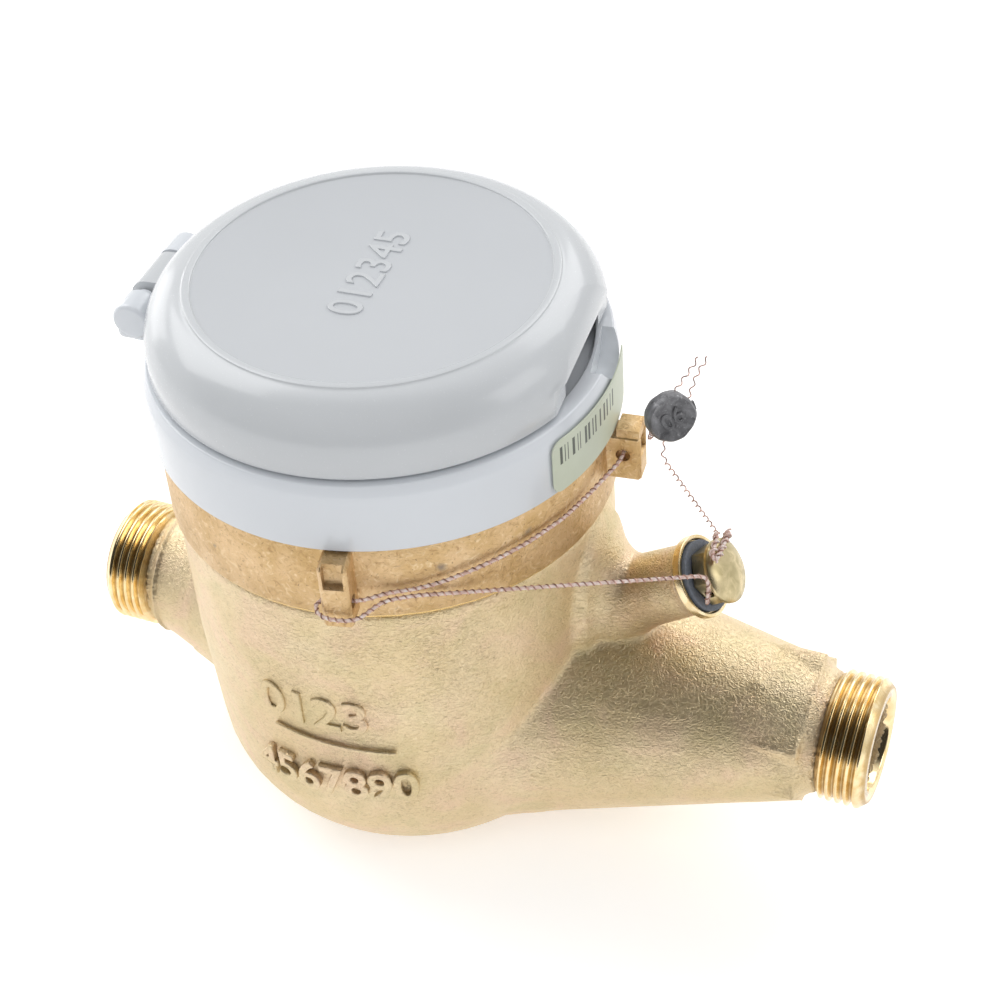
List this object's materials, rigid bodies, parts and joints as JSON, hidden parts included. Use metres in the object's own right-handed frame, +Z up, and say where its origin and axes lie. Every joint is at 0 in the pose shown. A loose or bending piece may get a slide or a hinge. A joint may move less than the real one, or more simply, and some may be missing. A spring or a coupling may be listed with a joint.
{
  "type": "multi-jet water meter",
  "caption": "Multi-jet water meter: sand-cast brass body with threaded pipe ends, brass head ring, grey plastic hood with hinged lid, regulating boss and a sealing wire with lead seal",
  "frame": {"origin": "centre of the body's flat base, which is also the foot of the head's axis", "axes": "+X along the pipe in the flow direction, from inlet to outlet; +Z up along the head's axis; -Y toward the side that faces the camera"},
  "size_m": [0.169, 0.0953, 0.124],
  "materials": {
    "brass_cast": "sand-cast, matt with fine grain",
    "brass_ring": "rough turned, oxidised",
    "brass_machined": "machined, shiny",
    "fibre_washer": "dark fibre sheet",
    "steel": "ground rod",
    "ferrite": "sintered magnet",
    "rubber": "smooth moulded",
    "strainer_plastic": "moulded",
    "chamber_plastic": "moulded",
    "impeller_plastic": "moulded",
    "slip_plastic": "moulded",
    "can_metal": "pressed and turned",
    "glass": "clear, ground edge",
    "dial_paint": "white print ground",
    "frame_plastic": "moulded",
    "drum_plastic": "moulded",
    "pointer_red": "moulded",
    "hood_plastic": "glossy moulded",
    "lid_plastic": "glossy moulded, satin disc",
    "label_paper": "printed sticker",
    "seal_metal": "crimped lead alloy",
    "wire_metal": "copper helix on a clear core"
  },
  "bodies": {
    "meter_body": {"body": "brass_cast", "head_ring": "brass_ring", "slip_ring": "slip_plastic", "pressure_cup": "brass_machined", "seal_ring": "rubber", "regulator_plug": "brass_machined", "plug_washer": "fibre_washer", "strainer_basket": "strainer_plastic", "chamber_cup": "chamber_plastic", "chamber_cover": "chamber_plastic", "impeller_pivot": "steel", "seal_wire": "wire_metal", "lead_seal": "seal_metal"},
    "register": {"register_can": "can_metal", "register_glass": "glass", "dial_face": "dial_paint", "gear_frame": "frame_plastic", "drum_axle": "steel", "hood_ring": "hood_plastic", "hinge_pin": "steel", "label": "label_paper"},
    "lid": {"lid": "lid_plastic"},
    "impeller": {"impeller": "impeller_plastic", "drive_magnet": "ferrite"},
    "driven_magnet": {"driven_magnet": "ferrite"},
    "pointer_1": {"pointer_1": "pointer_red", "pointer_gear_1": "brass_machined"},
    "pointer_2": {"pointer_2": "pointer_red", "pointer_gear_2": "brass_machined"},
    "pointer_3": {"pointer_3": "pointer_red", "pointer_gear_3": "brass_machined"},
    "pointer_4": {"pointer_4": "pointer_red", "pointer_gear_4": "brass_machined"},
    "star_wheel": {"star_wheel": "pointer_red", "star_gear": "brass_machined"},
    "number_drum_1": {"number_drum_1": "drum_plastic"},
    "number_drum_2": {"number_drum_2": "drum_plastic"},
    "number_drum_3": {"number_drum_3": "drum_plastic"},
    "number_drum_4": {"number_drum_4": "drum_plastic"},
    "number_drum_5": {"number_drum_5": "drum_plastic"},
    "regulating_screw": {"regulating_screw": "brass_machined"}
  },
  "joints": [
    {"name": "register_turn", "type": "hinge", "parent": "meter_body", "child": "register", "pos_m": [0, 0, 0.095], "axis": [0, 0, 1], "range_deg": [-145, 145]},
    {"name": "lid_hinge", "type": "hinge", "parent": "register", "child": "lid", "pos_m": [-0.04624, -0.00242, 0.1116], "axis": [0.0523, -0.9986, 0], "range_deg": [0, 110]},
    {"name": "impeller_spin", "type": "hinge", "parent": "meter_body", "child": "impeller", "pos_m": [0, 0, 0.04], "axis": [0, 0, 1], "continuous": true},
    {"name": "driven_magnet_spin", "type": "hinge", "parent": "register", "child": "driven_magnet", "pos_m": [0, 0, 0.075], "axis": [0, 0, 1], "continuous": true},
    {"name": "pointer_1_spin", "type": "hinge", "parent": "register", "child": "pointer_1", "pos_m": [0.01234, -0.01699, 0.085], "axis": [0, 0, 1], "continuous": true},
    {"name": "pointer_2_spin", "type": "hinge", "parent": "register", "child": "pointer_2", "pos_m": [0.02019, -0.00579, 0.085], "axis": [0, 0, 1], "continuous": true},
    {"name": "pointer_3_spin", "type": "hinge", "parent": "register", "child": "pointer_3", "pos_m": [0.01947, 0.00787, 0.085], "axis": [0, 0, 1], "continuous": true},
    {"name": "pointer_4_spin", "type": "hinge", "parent": "register", "child": "pointer_4", "pos_m": [0.0105, 0.01819, 0.085], "axis": [0, 0, 1], "continuous": true},
    {"name": "star_wheel_spin", "type": "hinge", "parent": "register", "child": "star_wheel", "pos_m": [0.00799, 0.00042, 0.085], "axis": [0, 0, 1], "continuous": true},
    {"name": "number_drum_1_spin", "type": "hinge", "parent": "register", "child": "number_drum_1", "pos_m": [-0.012, -0.00984, 0.0915], "axis": [-0.0523, 0.9986, 0], "continuous": true},
    {"name": "number_drum_2_spin", "type": "hinge", "parent": "register", "child": "number_drum_2", "pos_m": [-0.01224, -0.00525, 0.0915], "axis": [-0.0523, 0.9986, 0], "continuous": true},
    {"name": "number_drum_3_spin", "type": "hinge", "parent": "register", "child": "number_drum_3", "pos_m": [-0.01248, -0.00065, 0.0915], "axis": [-0.0523, 0.9986, 0], "continuous": true},
    {"name": "number_drum_4_spin", "type": "hinge", "parent": "register", "child": "number_drum_4", "pos_m": [-0.01272, 0.00394, 0.0915], "axis": [-0.0523, 0.9986, 0], "continuous": true},
    {"name": "number_drum_5_spin", "type": "hinge", "parent": "register", "child": "number_drum_5", "pos_m": [-0.01296, 0.00853, 0.0915], "axis": [-0.0523, 0.9986, 0], "continuous": true},
    {"name": "regulating_screw_turn", "type": "hinge", "parent": "meter_body", "child": "regulating_screw", "pos_m": [0.0519, 0, 0.0594], "axis": [0.848, 0, 0.5299], "range_deg": [0, 1080]}
  ],
  "couplings": [
    {"joint": "driven_magnet_spin", "follows": "impeller_spin", "ratio": 1},
    {"joint": "pointer_1_spin", "follows": "impeller_spin", "ratio": -0.033333},
    {"joint": "pointer_2_spin", "follows": "impeller_spin", "ratio": 0.0033333},
    {"joint": "pointer_3_spin", "follows": "impeller_spin", "ratio": -0.00033333},
    {"joint": "pointer_4_spin", "follows": "impeller_spin", "ratio": 0.00003333},
    {"joint": "star_wheel_spin", "follows": "impeller_spin", "ratio": -0.2},
    {"joint": "number_drum_1_spin", "follows": "impeller_spin", "ratio": 0.0000033333},
    {"joint": "number_drum_2_spin", "follows": "impeller_spin", "ratio": 0.00000033333},
    {"joint": "number_drum_3_spin", "follows": "impeller_spin", "ratio": 0.000000033333},
    {"joint": "number_drum_4_spin", "follows": "impeller_spin", "ratio": 0.000000003333},
    {"joint": "number_drum_5_spin", "follows": "impeller_spin", "ratio": 0.000000000333}
  ]
}
